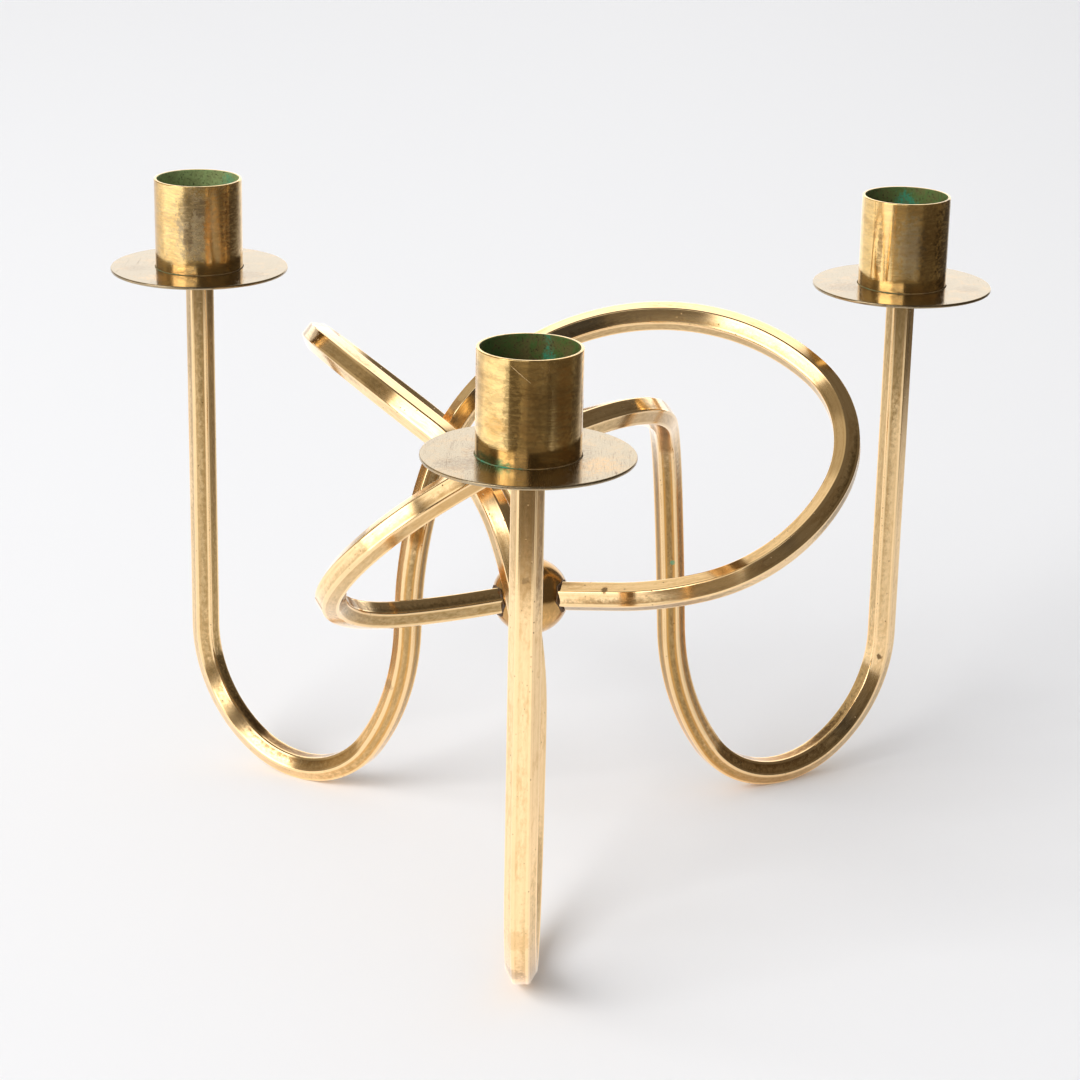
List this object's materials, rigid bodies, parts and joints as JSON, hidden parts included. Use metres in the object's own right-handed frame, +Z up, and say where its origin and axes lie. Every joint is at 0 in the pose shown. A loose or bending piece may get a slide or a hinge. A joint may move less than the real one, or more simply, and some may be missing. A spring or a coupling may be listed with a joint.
{
  "type": "three-arm candelabra",
  "caption": "Table candelabra of bent hexagonal brass bars that loop round each other into a small ball, each bar carrying a flat drip pan and a straight candle cup.",
  "frame": {"origin": "middle of the plan outline, on the table that the three feet stand on", "axes": "+X to the right of the front arm as seen from the front, -Y towards the front arm's cup, +Z up"},
  "size_m": [0.2476, 0.2212, 0.1739],
  "materials": {
    "bar_brass": "drawn and polished, with brown patina along the edges",
    "pan_brass": "turned, softly polished, with fine scratches and wax stains",
    "cup_brass": "turned and polished outside, dark green tarnish inside",
    "screw_brass": "dull, tarnished",
    "ball_brass": "polished, with brown patina"
  },
  "bodies": {
    "root": {"front_bar": "bar_brass", "front_drip_pan": "pan_brass", "front_candle_cup": "cup_brass", "front_cup_screw": "screw_brass", "right_bar": "bar_brass", "right_drip_pan": "pan_brass", "right_candle_cup": "cup_brass", "right_cup_screw": "screw_brass", "left_bar": "bar_brass", "left_drip_pan": "pan_brass", "left_candle_cup": "cup_brass", "left_cup_screw": "screw_brass", "centre_ball": "ball_brass"}
  },
  "joints": []
}
